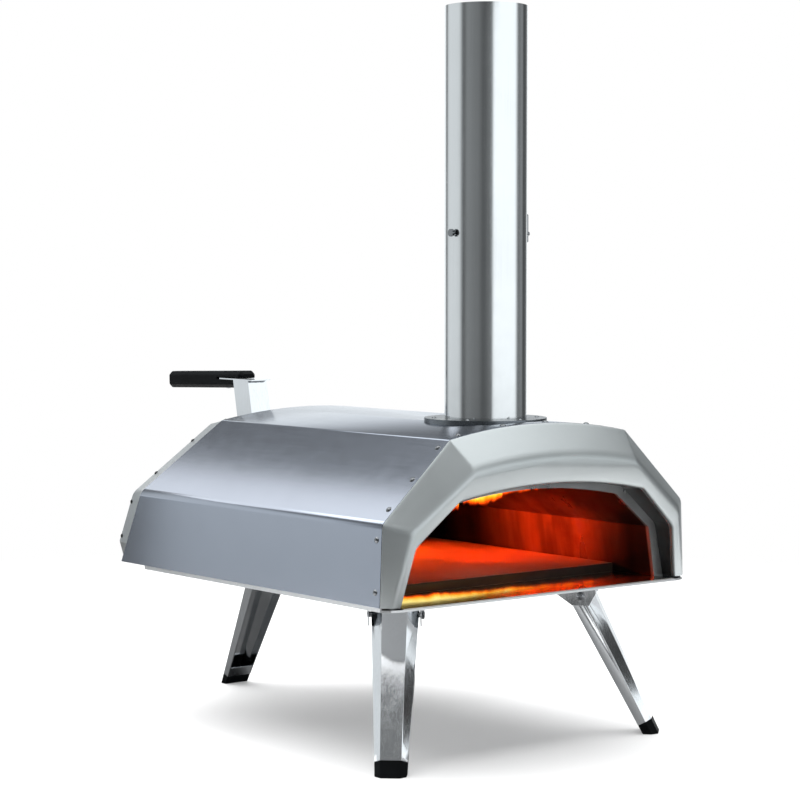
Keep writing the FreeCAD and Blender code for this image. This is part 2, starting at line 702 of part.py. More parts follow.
def rear_panel():
    """The pressed cap that closes the casing's leaning rear, tapered in toward its back."""
    front_set_back = -12.0
    depth = 27.0
    tuck = SHEET + 0.3
    taper = 5.0
    corner_cut = 22.0
    foot_z = size("shell_foot_z")

    def ring(inset, set_back, foot_lift):
        half, top = moved_in(half_outline("shell"), size("shell_top_z"), inset)
        foot, side, crease = half
        cut = (foot[0] - foot_lift * 0.6, foot_z)
        half = [cut, across(foot, side, foot_lift / (side[1] - foot_z)), side, crease]
        edges, left, right = arch_chain(half, top, rear_depth(set_back), size("shell_bend"))
        return Part.Wire(edges + [Part.LineSegment(right, left).toShape()])

    def block(inset, lift):
        return Part.makeLoft([
            ring(inset, front_set_back, lift),
            ring(inset, 1.0, lift),
            ring(inset + taper, depth - inset, lift),
        ], True, True)

    hull = block(tuck, corner_cut)
    inside = block(tuck + SHEET, corner_cut)
    cap = hull.cut(inside)
    port_half = size("box_half") + 0.5
    port_top = size("box_top_z") + 0.5
    port = Part.makeBox(2 * port_half, 260, port_top - 100, Vector(-port_half, FRONT + 380, 100))
    sub_part("rear_panel", cap.cut(port))


# ---------------------------------------------------------------- fuel box, tray and hatch

def fuel_box():
    """The box that holds the fire: open to the chamber, with a tray port and a hatch opening."""
    body = new_body("fuel_box")
    plan = new_sketch(body, "XY_Plane", "box_plan", "pan_under_z + pan_sheet")
    draw(plan, rectangle("-box_half", "box_half", "shell_front + box_front", "shell_front + box_rear"))
    block = pad(body, plan, "box_top_z - pan_under_z - pan_sheet")
    hollow(body, block, lambda normal: normal.y < -0.9, "pan_sheet")
    port = new_sketch(body, "XZ_Plane", "tray_port", "-(shell_front + box_rear - 5)")
    port_half = "(tray_half + 1.5)"
    draw(port, rectangle(f"-{port_half}", port_half, "pan_under_z + 2 * pan_sheet", "tray_port_top_z"))
    pocket(body, port, "10")
    opening = new_sketch(body, "XY_Plane", "hatch_opening", "box_top_z - 5")
    draw(opening, rectangle("-hatch_half", "hatch_half",
                            "shell_front + hatch_front", "shell_front + hatch_rear"))
    pocket(body, opening, "10", reverse=True)


def hatch_collar():
    """The low frame round the hatch opening that the lid drops over."""
    body = new_body("hatch_collar")
    plan = new_sketch(body, "XY_Plane", "collar_plan", "box_top_z")
    draw(plan, rectangle("-(hatch_half + pan_sheet)", "hatch_half + pan_sheet",
                         "shell_front + hatch_front - pan_sheet", "shell_front + hatch_rear + pan_sheet"))
    draw(plan, rectangle("-hatch_half", "hatch_half",
                         "shell_front + hatch_front", "shell_front + hatch_rear"))
    pad(body, plan, "hatch_rise")


def hatch_lid():
    """The lid: a flat pressed cover with a turned-down rim that hangs round the collar."""
    body = new_body("hatch_lid")
    reach = "(pan_sheet + 0.6 + pan_sheet)"
    plan = new_sketch(body, "XY_Plane", "lid_plan", "box_top_z + 1")
    draw(plan, rectangle(f"-(hatch_half + {reach})", f"hatch_half + {reach}",
                         f"shell_front + hatch_front - {reach}", f"shell_front + hatch_rear + {reach}"))
    block = pad(body, plan, "hatch_rise - 1 + pan_sheet")
    block = round_edges(body, block, lambda edge: edge.BoundBox.ZLength > 5, "2.5")
    hollow(body, block, lambda normal: normal.z < -0.9, "pan_sheet")


def strut_foot_y(height):
    """The Y of the strut's front face at a height, leaning back as it rises."""
    lean = f"strut_lean * (({height}) - grip_z)"
    return f"shell_front + grip_front - 18 + {lean}"


def hatch_strut():
    """The folded channel between lid and grip: two side walls, a web and a plate on top."""
    body = new_body("hatch_strut")
    low = "box_top_z + hatch_rise + pan_sheet"
    high = "grip_z - 1"
    web = new_sketch(body, "YZ_Plane", "strut_profile")
    draw(web, [
        (strut_foot_y(low), low),
        (strut_foot_y(low) + " + 32", low),
        (strut_foot_y(high) + " + 32", high),
        (strut_foot_y(high), high),
    ])
    pad(body, web, "strut_width", midplane=True)
    groove = new_sketch(body, "YZ_Plane", "strut_hollow")
    draw(groove, [
        (strut_foot_y(low) + " + 1.5", low + " - 1"),
        (strut_foot_y(low) + " + 34", low + " - 1"),
        (strut_foot_y(high) + " + 34", high + " + 1"),
        (strut_foot_y(high) + " + 1.5", high + " + 1"),
    ])
    pocket(body, groove, "strut_width - 3", midplane=True)
    foot = new_sketch(body, "XY_Plane", "strut_foot", low)
    foot_y = strut_foot_y(low)
    draw(foot, rectangle("-strut_width / 2 - 14", "strut_width / 2 + 14", foot_y, foot_y + " + 32"))
    pad(body, foot, "1.5")
    top = new_sketch(body, "XY_Plane", "strut_top_plate", high)
    top_y = strut_foot_y(high)
    draw(top, rectangle("-strut_width / 2", "strut_width / 2", top_y + " - 8", top_y + " + 62"))
    pad(body, top, "1.5")


def hatch_grip():
    """The heat-proof grip: an eight-sided bar that clasps the strut's top plate."""
    body = new_body("hatch_grip")
    half_w = "(grip_width / 2)"
    half_h = "(grip_height / 2)"
    bevel = "grip_bevel"
    end = new_sketch(body, "XZ_Plane", "grip_section")
    draw(end, [
        (f"-({half_w} - {bevel})", f"-{half_h}"),
        (f"{half_w} - {bevel}", f"-{half_h}"),
        (half_w, f"-({half_h} - {bevel})"),
        (half_w, f"{half_h} - {bevel}"),
        (f"{half_w} - {bevel}", half_h),
        (f"-({half_w} - {bevel})", half_h),
        (f"-{half_w}", f"{half_h} - {bevel}"),
        (f"-{half_w}", f"-({half_h} - {bevel})"),
    ])
    block = pad(body, end, "grip_rear - grip_front", reverse=True)
    bevelled = body.newObject("PartDesign::Chamfer", "grip_ends")
    ends = [f"Edge{number}" for number, edge in enumerate(block.Shape.Edges, start=1)
            if edge.BoundBox.YLength < 1]
    bevelled.Base = (block, ends)
    bevelled.setExpression("Size", bound("grip_bevel"))
    doc.recompute()
    slot = new_sketch(body, "YZ_Plane", "grip_slot")
    draw(slot, [("-5", "-1.4"), ("52", "0.6"), ("52", "2.9"), ("-5", "0.9")])
    pocket(body, slot, "strut_width + 20", midplane=True)
    notch = new_sketch(body, "YZ_Plane", "grip_notch")
    draw(notch, [("-5", "-grip_height"), ("13", "-grip_height"), ("15.2", "0"), ("-5", "0")])
    pocket(body, notch, "strut_width + 20", midplane=True)
    body.setExpression("Placement.Base.y", bound("shell_front + grip_front"))
    body.setExpression("Placement.Base.z", bound("grip_z"))
    body.Placement.Rotation = Rotation(Vector(1, 0, 0), -size("grip_fall"))


def handle_fasteners():
    """The rivets that hold the strut's foot to the lid, and the bolts up through the grip."""
    foot_z = size("box_top_z + hatch_rise + pan_sheet + 1.5")
    middle = size(strut_foot_y(str(foot_z)) + " + 16")
    seats = []
    for side_x in (-1, 1):
        for side_y in (-1, 1):
            seats.append((Vector(side_x * 22, middle + side_y * 9, foot_z), Vector(0, 0, 1)))
    sub_part("handle_rivets", screws(seats, 2.4, 1.0, 1.2, 2.4))
    fall = Rotation(Vector(1, 0, 0), -size("grip_fall"))
    start = Vector(0, size("shell_front + grip_front"), size("grip_z"))
    seats = []
    for along in (24, 44):
        seat = start + fall.multVec(Vector(0, along, -size("grip_height / 2")))
        seats.append((seat, fall.multVec(Vector(0, 0, -1))))
    sub_part("grip_bolts", screws(seats, 3.6, 1.2, 1.8, 14))


def fuel_tray():
    """The drawer under the fire: an open-topped tray with sides that carry the grate."""
    body = new_body("fuel_tray")
    front = "shell_front + box_rear - tray_length"
    plan = new_sketch(body, "XY_Plane", "tray_plan", "pan_under_z + 2 * pan_sheet + 0.3")
    draw(plan, rectangle("-tray_half", "tray_half", front, "shell_front + box_rear + 0.5"))
    block = pad(body, plan, "tray_height")
    hollow(body, block, lambda normal: normal.z > 0.9, "sheet")
    for side in (-1, 1):
        ledge = new_sketch(body, "XY_Plane", f"tray_ledge_{side + 1}", "pan_under_z + 2 * pan_sheet + 22")
        x_from, x_to = ("-tray_half + 0.6", "-tray_half + 6")
        if side > 0:
            x_from, x_to = ("tray_half - 6", "tray_half - 0.6")
        draw(ledge, rectangle(x_from, x_to, front + " + 0.6", "shell_front + box_rear - 0.6"))
        pad(body, ledge, "sheet")


def fuel_grate():
    """The slotted grate that the wood burns on."""
    body = new_body("fuel_grate")
    front = "(shell_front + box_rear - tray_length + 3)"
    half = "(tray_half - 2)"
    plan = new_sketch(body, "XY_Plane", "grate_plan", "pan_under_z + 2 * pan_sheet + 22 + sheet")
    draw(plan, rectangle(f"-{half}", half, front, "shell_front + box_rear - 3"))
    pad(body, plan, "2")
    slots = new_sketch(body, "XY_Plane", "grate_slots", "pan_under_z + 2 * pan_sheet + 26")
    for index in range(9):
        y = f"{front} + 12 + 12 * {index}"
        draw(slots, rectangle(f"-({half} - 12)", f"{half} - 12", y, y + " + 5"))
    pocket(body, slots, "5")


def tray_face():
    """The plate that covers the tray port, with a folded pull along its top."""
    body = new_body("tray_face")
    face_y = "-(shell_front + box_rear + 0.5)"
    plate = new_sketch(body, "XZ_Plane", "face_plate", face_y)
    low = "pan_rim_z + 1"
    draw(plate, rectangle("-(tray_half + 7)", "tray_half + 7", low, "tray_port_top_z + 6"))
    pad(body, plate, "sheet", reverse=True)
    pull = new_sketch(body, "YZ_Plane", "face_pull")
    start = "shell_front + box_rear + 0.5 + sheet"
    draw(pull, [
        (start, "tray_port_top_z - 14"),
        (start + " + 20", "tray_port_top_z - 14"),
        (start + " + 20", "tray_port_top_z - 24"),
        (start + " + 21.5", "tray_port_top_z - 24"),
        (start + " + 21.5", "tray_port_top_z - 12.5"),
        (start, "tray_port_top_z - 12.5"),
    ])
    pad(body, pull, "70", midplane=True)


# ---------------------------------------------------------------- chimney

def ring_of(label, outer, inner, low, high):
    """A tube or washer about the chimney's axis, its sizes given by expressions."""
    solids = []
    for part, radius, start, end in (("outside", outer, low, high),
                                     ("bore", inner, f"({low}) - 1", f"({high}) + 1")):
        solids.append(place(f"{label}_{part}", "Part::Cylinder", {
            "Radius": radius,
            "Height": f"({end}) - ({start})",
            "Placement.Base.y": "shell_front + chimney_back",
            "Placement.Base.z": start,
        }))
    return solids


def chimney():
    """The spigot through the casing, the flange over the dome and the tube that slips on."""
    inner = "chimney_radius - chimney_wall"
    spigot = inner + " - spigot_gap"
    outside, bore = ring_of("spigot", spigot, spigot + " - sheet", "liner_top_z - 1", "spigot_top_z")
    boolean("chimney_spigot", "Part::Cut", outside, bore)
    outside, bore = ring_of("flange", "flange_radius", spigot, "shell_top_z - 5", "flange_top_z")
    ring = doc.addObject("Part::Cut", "flange_ring")
    ring.Base = outside
    ring.Tool = bore
    dome = place("flange_seat", "Part::Cylinder", {"Height": "chimney_back * 4"})
    dome.Radius = dome_radius(half_outline("shell"), size("shell_top_z")) + 0.05
    centre_z = size("shell_top_z") + 0.05 - dome.Radius.Value
    dome.Placement = Placement(Vector(0, FRONT - 80, centre_z), Rotation(Vector(1, 0, 0), -90))
    boolean("chimney_flange", "Part::Cut", ring, dome)
    body = new_body("chimney_tube")
    section = new_sketch(body, "XY_Plane", "tube_section", "flange_top_z")
    draw_circle(section, "0", "shell_front + chimney_back", "chimney_radius")
    draw_circle(section, "0", "shell_front + chimney_back", inner)
    pad(body, section, "chimney_top_z - flange_top_z")
    holes = new_sketch(body, "YZ_Plane", "spindle_holes")
    draw_circle(holes, "shell_front + chimney_back", "damper_z", "spindle_radius + running_gap")
    pocket(body, holes, "2 * chimney_radius + 10", midplane=True)


def wire(bends, radius):
    """A round wire through the given points, with rounded bends and ends."""
    made = Part.makeSphere(radius, bends[0])
    for start, end in zip(bends, bends[1:]):
        run = end - start
        made = made.fuse(Part.makeCylinder(radius, run.Length, start, run))
        made = made.fuse(Part.makeSphere(radius, end))
    return made.removeSplitter()


def damper():
    """The disc that turns in the flue, its spindle, the wire lever and two clamp screws."""
    disc = place("damper_plate", "Part::Cylinder", {
        "Radius": "damper_radius",
        "Height": "1.5",
        "Placement.Base.y": "shell_front + chimney_back + spindle_radius + 1.5",
        "Placement.Base.z": "damper_z",
    })
    disc.Placement.Rotation = Rotation(Vector(1, 0, 0), 90)
    named(disc, "damper_disc")
    spindle = place("spindle_rod", "Part::Cylinder", {
        "Radius": "spindle_radius",
        "Height": "2 * chimney_radius + 20.8",
        "Placement.Base.x": "-chimney_radius - 4",
        "Placement.Base.y": "shell_front + chimney_back",
        "Placement.Base.z": "damper_z",
    })
    spindle.Placement.Rotation = Rotation(Vector(0, 1, 0), 90)
    collar = place("spindle_collar", "Part::Cylinder", {
        "Radius": "spindle_radius + 1.6",
        "Height": "3",
        "Placement.Base.x": "-chimney_radius - 5.5",
        "Placement.Base.y": "shell_front + chimney_back",
        "Placement.Base.z": "damper_z",
    })
    collar.Placement.Rotation = Rotation(Vector(0, 1, 0), 90)
    boolean("damper_spindle", "Part::Fuse", spindle, collar)
    y = FRONT + size("chimney_back")
    centre_z = size("damper_z")
    lever_x = size("chimney_radius + lever_stand_off")
    bends = [
        Vector(lever_x, y, centre_z - 8),
        Vector(lever_x, y, centre_z + 20),
        Vector(lever_x - 8, y, centre_z + 25),
    ]
    sub_part("damper_lever", wire(bends, size("lever_wire")))
    disc_back = y + size("spindle_radius") + 1.5
    seats = [(Vector(side * 20, disc_back, centre_z), Vector(0, 1, 0)) for side in (-1, 1)]
    sub_part("damper_screws", screws(seats, 3.2, 1.6, 1.5, 5.5))


# ---------------------------------------------------------------- fasteners

def screw(head_radius, head_rise, shank_radius, shank_length):
    """A round-head screw along +Z: the head stands on Z = 0 and the shank goes down from it."""
    ball = (head_radius ** 2 + head_rise ** 2) / (2 * head_rise)
    centre = Vector(0, 0, head_rise - ball)
    from_angle = math.degrees(math.asin((ball - head_rise) / ball))
    head = Part.makeSphere(ball, centre, Vector(0, 0, 1), from_angle, 90, 360)
    shank = Part.makeCylinder(shank_radius, shank_length, Vector(0, 0, -shank_length))
    return head.fuse(shank).removeSplitter()


def screws(seats, head_radius, head_rise, shank_radius, shank_length):
    """One screw on each seat, a point with its outward direction, as separate solids."""
    made = []
    for point, outward in seats:
        piece = screw(head_radius, head_rise, shank_radius, shank_length)
        piece.Placement = Placement(point, Rotation(Vector(0, 0, 1), outward))
        made.append(piece)
    return Part.makeCompound(made)


def casing_screws(label, seats, length=3.0):
    """A group of the casing's own screws."""
    shape = screws(seats, size("screw_head"), size("screw_head_rise"), size("screw_shank"), length)
    sub_part(label, shape)


def edge_seats(depth_at, inset, shares):
    """Seats round the casing's outline: shares of the side, of the shoulder, then of the dome."""
    half, top = moved_in(half_outline("shell"), size("shell_top_z"), inset)
    foot, side, crease = half
    seats = []
    for start, end, places in ((foot, side, shares[0]), (side, crease, shares[1])):
        outward = Vector(end[1] - start[1], 0, start[0] - end[0]).normalize()
        for share in places:
            x, z = across(start, end, share)
            for hand in (-1, 1):
                seats.append((Vector(hand * x, depth_at(z), z), Vector(hand * outward.x, 0, outward.z)))
    radius = dome_radius(half, top)
    for share in shares[2]:
        x = share * crease[0]
        z = top - (radius - math.sqrt(radius ** 2 - x ** 2))
        seats.append((Vector(x, depth_at(z), z), Vector(x, 0, radius).normalize()))
    return seats


def fasteners():
    """Every screw of the casing, rear cap, chimney flange and base pan."""
    front = level(FRONT + 8)
    casing_screws("shell_front_screws", edge_seats(front, 0.0, [
        (0.18, 0.81), (0.17, 0.52, 0.90), (-0.85, -0.36, 0.12, 0.6)]))
    behind = edge_seats(rear_depth(22.0), 5.9, [
        (0.35, 0.86), (0.28, 0.75), (-0.85, -0.4, 0.4, 0.85)])
    sub_part("rear_panel_screws", screws(behind, 2.7, 1.6, 1.3, 2.0))
    y = FRONT + size("chimney_back")
    ring = size("(flange_radius + chimney_radius) / 2 + 1")
    seats = []
    for step in range(6):
        angle = math.radians(30 + 60 * step)
        point = Vector(ring * math.cos(angle), y + ring * math.sin(angle), size("flange_top_z"))
        seats.append((point, Vector(0, 0, 1)))
    sub_part("flange_screws", screws(seats, 2.6, 1.5, 1.3, 5.0))
    under = size("pan_under_z")
    seats = []
    for x, back in ((0, 40), (90, 240), (-90, 240), (150, 380), (-150, 380)):
        seats.append((Vector(x, FRONT + back, under), Vector(0, 0, -1)))
    casing_screws("base_pan_screws", seats, 1.3)


# ---------------------------------------------------------------- legs

def leg_outline(web, width, depth, wall):
    """The leg's trapezoid channel in plan: web on +X, open on -X."""
    bevel_deep = f"{depth} * 0.42"
    half_web = f"({web} / 2)"
    half_width = f"({width} / 2)"
    x_web = f"({depth} / 2)"
    x_side = f"({x_web} - {bevel_deep})"
    x_open = f"(-{depth} / 2)"
    return [
        (x_open, f"-{half_width}"),
        (x_side, f"-{half_width}"),
        (x_web, f"-{half_web}"),
        (x_web, half_web),
        (x_side, half_width),
        (x_open, half_width),
        (x_open, f"{half_width} - {wall}"),
        (f"{x_side} - {wall} * 0.35", f"{half_width} - {wall}"),
        (f"{x_web} - {wall}", f"{half_web} - {wall} * 0.35"),
        (f"{x_web} - {wall}", f"-({half_web} - {wall} * 0.35)"),
        (f"{x_side} - {wall} * 0.35", f"-({half_width} - {wall})"),
        (x_open, f"-({half_width} - {wall})"),
    ]


def leg_placement(x, back, turn):
    """The leg's frame: origin on the pivot, +X outward, +Z up the leg."""
    lean = Rotation(Vector(0, 1, 0), -size("leg_lean"))
    return Placement(Vector(x, FRONT + back, size("pivot_z")), Rotation(Vector(0, 0, 1), turn) * lean)


def leg(label, x, back, turn):
    """One leg: a tapered channel with rounded top, drilled for its pivot bolt."""
    body = new_body("leg_" + label)
    top = new_sketch(body, "XY_Plane", label + "_leg_top", "leg_depth_top / 2")
    draw(top, leg_outline("leg_web_top", "leg_width_top", "leg_depth_top", "leg_sheet"))
    low = new_sketch(body, "XY_Plane", label + "_leg_low", "-(pivot_z - foot_height) / cos(leg_lean)")
    draw(low, leg_outline("leg_web_low", "leg_width_low", "leg_depth_low", "leg_sheet"))
    channel = body.newObject("PartDesign::AdditiveLoft", label + "_leg_channel")
    channel.Profile = top
    channel.Sections = [low]
    channel.Ruled = True
    doc.recompute()
    corners = new_sketch(body, "XZ_Plane", label + "_leg_corners")
    reach = "(leg_depth_top / 2)"
    for side in ("", "-"):
        tip = [(f"{side}({reach} + 2)", "0"), (f"{side}({reach} + 2)", f"{reach} + 2"),
               (f"{side}2", f"{reach} + 2"), (f"{side}2", reach),
               (f"{side}{reach} * 0.71", f"{reach} * 0.71"), (f"{side}{reach}", "2")]
        if side == "-":
            tip.reverse()
        draw(corners, tip)
    pocket(body, corners, "2 * leg_width_top", midplane=True)
    flap = new_sketch(body, "XY_Plane", label + "_leg_flap", "-(pivot_z - foot_height) / cos(leg_lean)")
    draw(flap, rectangle("-leg_depth_low / 2", "-leg_depth_low / 2 + leg_sheet",
                         "-(leg_width_low / 2 - 0.6)", "leg_width_low / 2 - 0.6"))
    pad(body, flap, "foot_height - 1")
    hole = new_sketch(body, "XZ_Plane", label + "_leg_bore")
    draw_circle(hole, "0", "0", "pivot_radius + running_gap")
    pocket(body, hole, "2 * leg_width_top", midplane=True)
    body.Placement = leg_placement(x, back, turn)


def foot(label, x, back, turn):
    """The plastic foot that plugs the leg's end, cut level with the ground."""
    body = new_body("foot_" + label)
    top = new_sketch(body, "XY_Plane", label + "_foot_top", "-(pivot_z - foot_height) / cos(leg_lean)")
    bottom = new_sketch(body, "XY_Plane", label + "_foot_low", "-(pivot_z + 12) / cos(leg_lean)")
    taper = "0.93"
    for sketch, share in ((top, "1"), (bottom, taper)):
        web = f"(leg_web_low * {share})"
        width = f"(leg_width_low * {share})"
        depth = f"(leg_depth_low * {share})"
        whole = leg_outline(web, width, depth, "leg_sheet")
        draw(sketch, whole[:6])
    block = body.newObject("PartDesign::AdditiveLoft", label + "_foot_block")
    block.Profile = top
    block.Sections = [bottom]
    block.Ruled = True
    doc.recompute()
    ground = new_sketch(body, "XZ_Plane", label + "_foot_ground")
    reach = 40
    far = "(pivot_z + 60)"
    level_at = []
    for side in (-reach, reach):
        level_at.append((str(side), f"-(pivot_z / cos(leg_lean)) - {side} * tan(leg_lean)"))
    draw(ground, [(str(-reach), f"-{far} * 1.3"), (str(reach), f"-{far} * 1.3"), level_at[1], level_at[0]])
    pocket(body, ground, "4 * leg_width_low", midplane=True)
    body.Placement = leg_placement(x, back, turn)


def leg_bracket(label, x, back, turn):
    """The folded bracket under the pan: a plate with two ears that the leg turns between."""
    body = new_body("bracket_" + label)
    outer = "(ear_gap + ear_sheet)"
    profile = new_sketch(body, "YZ_Plane", label + "_bracket_fold", "-bracket_inward")
    top = "pan_under_z - pivot_z"
    draw(profile, [
        (f"-{outer}", "-11"),
        ("-ear_gap", "-11"),
        ("-ear_gap", f"{top} - ear_sheet"),
        ("ear_gap", f"{top} - ear_sheet"),
        ("ear_gap", "-11"),
        (outer, "-11"),
        (outer, top),
        (f"-{outer}", top),
    ])
    pad(body, profile, "bracket_outward + bracket_inward")
    drop = f"({top} - ear_sheet)"
    bevel = new_sketch(body, "XZ_Plane", label + "_bracket_bevel")
    draw(bevel, [("-8", "-12"), ("-(bracket_inward + 1)", drop), ("-(bracket_inward + 1)", "-12")])
    draw(bevel, [("9", "-12"), ("bracket_outward + 1", "-12"), ("bracket_outward + 1", "4")])
    pocket(body, bevel, "200", midplane=True)
    hole = new_sketch(body, "XZ_Plane", label + "_bracket_bore")
    draw_circle(hole, "0", "0", "pivot_radius + running_gap")
    pocket(body, hole, "200", midplane=True)
    body.Placement = Placement(Vector(x, FRONT + back, size("pivot_z")), Rotation(Vector(0, 0, 1), turn))


def pivot_bolt(label, x, back, turn):
    """The bolt that the leg turns on, with a low round head, and its nut."""
    outer = size("ear_gap + ear_sheet")
    turned = Placement(Vector(x, FRONT + back, size("pivot_z")), Rotation(Vector(0, 0, 1), turn))
    bolt = screw(4.6, 1.8, size("pivot_radius"), 2 * outer + 3)
    seat = Placement(Vector(0, -outer - 0.1, 0), Rotation(Vector(0, 0, 1), Vector(0, -1, 0)))
    bolt.Placement = turned * seat
    sub_part("pivot_bolt_" + label, bolt)
    nut_corner = 5.0
    nut_thick = 2.4
    turns = [math.radians(60 * side) for side in range(6)]
    hexagon = [Vector(nut_corner * math.cos(by), 0, nut_corner * math.sin(by)) for by in turns]
    face = Part.Face(Part.makePolygon(hexagon + hexagon[:1]))
    nut = face.extrude(Vector(0, nut_thick, 0))
    nut = nut.cut(Part.makeCylinder(size("pivot_radius"), 7, Vector(0, -1, 0), Vector(0, 1, 0)))
    nut.Placement = turned * Placement(Vector(0, outer + 0.1, 0), Rotation())
    sub_part("pivot_nut_" + label, nut)


def bracket_rivets(places):
    """Two rivets through each bracket's plate into the pan, between the ears."""
    seats = []
    for label, x, back, turn in places:
        outward = Rotation(Vector(0, 0, 1), turn)
        plate_z = size("pan_under_z - ear_sheet")
        for side in (-1, 1):
            shift = outward.multVec(Vector(-34, side * 17, 0))
            seats.append((Vector(x + shift.x, FRONT + back + shift.y, plate_z), Vector(0, 0, -1)))
    sub_part("bracket_rivets", screws(seats, 2.4, 0.9, 1.2, 3.0))


def legs():
    """Two front legs that splay outward and one rear leg, all folding in under the pan."""
    x = size("leg_spread_x")
    azimuth = size("leg_azimuth")
    places = [
        ("front_right", x, size("leg_front_back"), azimuth - 90),
        ("front_left", -x, size("leg_front_back"), -90 - azimuth),
        ("rear", 0, size("leg_rear_back"), 90),
    ]
    for where in places:
        leg_bracket(*where)
        pivot_bolt(*where)
        leg(*where)
        foot(*where)
    bracket_rivets(places)


# ---------------------------------------------------------------- assembly

outer_shell()
front_surround()
mouth_return()
inner_liner()
insulation_arch()
base_pan()
liner_floor()
rear_panel()
fuel_box()
hatch_collar()
hatch_lid()
hatch_strut()
hatch_grip()
handle_fasteners()
fuel_tray()
fuel_grate()
tray_face()
baking_stone()
chimney()
damper()
fasteners()
legs()
doc.recompute()

for item in doc.Objects:
    if {"Invalid", "Error"} & set(item.State):
        raise RuntimeError(f"{item.Label} failed: {item.State}")
for item in SUB_PARTS:
    if item.Shape.isNull() or not item.Shape.isValid():
        raise RuntimeError(f"{item.Label} has no valid shape")

os.makedirs("parts", exist_ok=True)
whole = FreeCAD.BoundBox()
for item in SUB_PARTS:
    item.Shape.exportStep(f"parts/{item.Label}.step")
    whole.add(item.Shape.BoundBox)
    print(f"{item.Label:22s} {len(item.Shape.Solids):3d} solids {item.Shape.Volume:12.1f} mm3")
print("box", whole.XMin, whole.XMax, whole.YMin, whole.YMax, whole.ZMin, whole.ZMax)
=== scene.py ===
"""The looks of the portable wood fired pizza oven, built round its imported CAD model."""
import json
import math

import bmesh
import bpy
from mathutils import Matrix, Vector

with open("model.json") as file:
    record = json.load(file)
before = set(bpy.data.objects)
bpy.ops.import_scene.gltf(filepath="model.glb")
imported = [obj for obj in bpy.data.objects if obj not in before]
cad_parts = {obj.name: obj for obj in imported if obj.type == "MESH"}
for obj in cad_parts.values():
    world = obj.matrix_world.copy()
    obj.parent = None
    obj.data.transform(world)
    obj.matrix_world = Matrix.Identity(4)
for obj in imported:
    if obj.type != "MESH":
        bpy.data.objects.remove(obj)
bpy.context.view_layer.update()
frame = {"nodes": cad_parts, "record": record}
nodes = frame["nodes"]

WHITE = (1.0, 1.0, 1.0)


# ---------------------------------------------------------------- node-tree helpers

def add_node(tree, kind, **settings):
    """A new node of a node tree, with its settings."""
    node = tree.nodes.new(kind)
    for name, value in settings.items():
        setattr(node, name, value)
    return node


def fill_ramp(node, stops):
    """Puts stops, each a position and an (r, g, b), on a colour ramp node."""
    elements = node.color_ramp.elements
    while len(elements) < len(stops):
        elements.new(0.5)
    for element, (position, colour) in zip(elements, stops):
        element.position = position
        element.color = (*colour, 1.0)


class Shader:
    """A material under construction, with short calls for the nodes that most finishes share."""

    def __init__(self, name):
        self.material = bpy.data.materials.new(name)
        self.material.use_nodes = True
        self.tree = self.material.node_tree
        self.surface = self.tree.nodes["Principled BSDF"]
        self.place = self.add("ShaderNodeTexCoord").outputs["Object"]

    def add(self, kind, **settings):
        return add_node(self.tree, kind, **settings)

    def link(self, source, target):
        self.tree.links.new(source, target)

    def set(self, **values):
        """Uniform values go straight onto the shader's own sockets."""
        for name, value in values.items():
            self.surface.inputs[name.replace("_", " ")].default_value = value

    def stretched(self, scale):
        """Object coordinates scaled per axis, so that a noise turns into brush lines."""
        mapping = self.add("ShaderNodeMapping")
        mapping.inputs["Scale"].default_value = scale
        self.link(self.place, mapping.inputs["Vector"])
        return mapping.outputs["Vector"]

    def noise(self, scale, detail=4.0, roughness=0.55, vector=None, distortion=0.0):
        """Noise between 0 and 1, over the object's own coordinates unless a vector is given."""
        node = self.add("ShaderNodeTexNoise")
        node.inputs["Scale"].default_value = scale
        node.inputs["Detail"].default_value = detail
        node.inputs["Roughness"].default_value = roughness
        node.inputs["Distortion"].default_value = distortion
        self.link(vector or self.place, node.inputs["Vector"])
        return node.outputs["Fac"]

    def span(self, value, low, high, start=0.3, end=0.7):
        """The value moved from start..end to low..high."""
        node = self.add("ShaderNodeMapRange")
        node.inputs["From Min"].default_value = start
        node.inputs["From Max"].default_value = end
        node.inputs["To Min"].default_value = low
        node.inputs["To Max"].default_value = high
        self.link(value, node.inputs["Value"])
        return node.outputs["Result"]

    def ramp(self, value, stops):
        """A colour ramp: stops are (position, (r, g, b))."""
        node = self.add("ShaderNodeValToRGB")
        fill_ramp(node, stops)
        self.link(value, node.inputs["Fac"])
        return node.outputs["Color"]

    def mix(self, factor, first, second):
        """The first colour where factor is 0 and the second where it is 1."""
        node = self.add("ShaderNodeMix", data_type="RGBA")
        self.link(factor, node.inputs["Factor"])
        self.link(first, node.inputs["A"])
        self.link(second, node.inputs["B"])
        return node.outputs["Result"]

    def math(self, operation, first, second):
        """A sum on two values, each a number or a socket."""
        node = self.add("ShaderNodeMath", operation=operation)
        for socket, value in zip(node.inputs, (first, second)):
            if isinstance(value, (int, float)):
                socket.default_value = value
            else:
                self.link(value, socket)
        return node.outputs["Value"]

    def axis(self, name):
        """One object coordinate, in metres."""
        node = self.add("ShaderNodeSeparateXYZ")
        self.link(self.place, node.inputs["Vector"])
        return node.outputs[name]

    def normal(self, name):
        """One part of the object-space normal, without its sign."""
        node = self.add("ShaderNodeSeparateXYZ")
        self.link(self.place.node.outputs["Normal"], node.inputs["Vector"])
        return self.math("ABSOLUTE", node.outputs[name], 0.0)

    def bump(self, height, distance, strength):
        """Relief of the given depth in metres."""
        node = self.add("ShaderNodeBump")
        node.inputs["Distance"].default_value = distance
        node.inputs["Strength"].default_value = strength
        self.link(height, node.inputs["Height"])
        self.link(node.outputs["Normal"], self.surface.inputs["Normal"])

    def colour(self, source):
        self.link(source, self.surface.inputs["Base Color"])

    def rough(self, source):
        self.link(source, self.surface.inputs["Roughness"])


def tint(colour, factor):
    """The colour made lighter or darker."""
    return tuple(min(1.0, channel * factor) for channel in colour)


# ---------------------------------------------------------------- materials

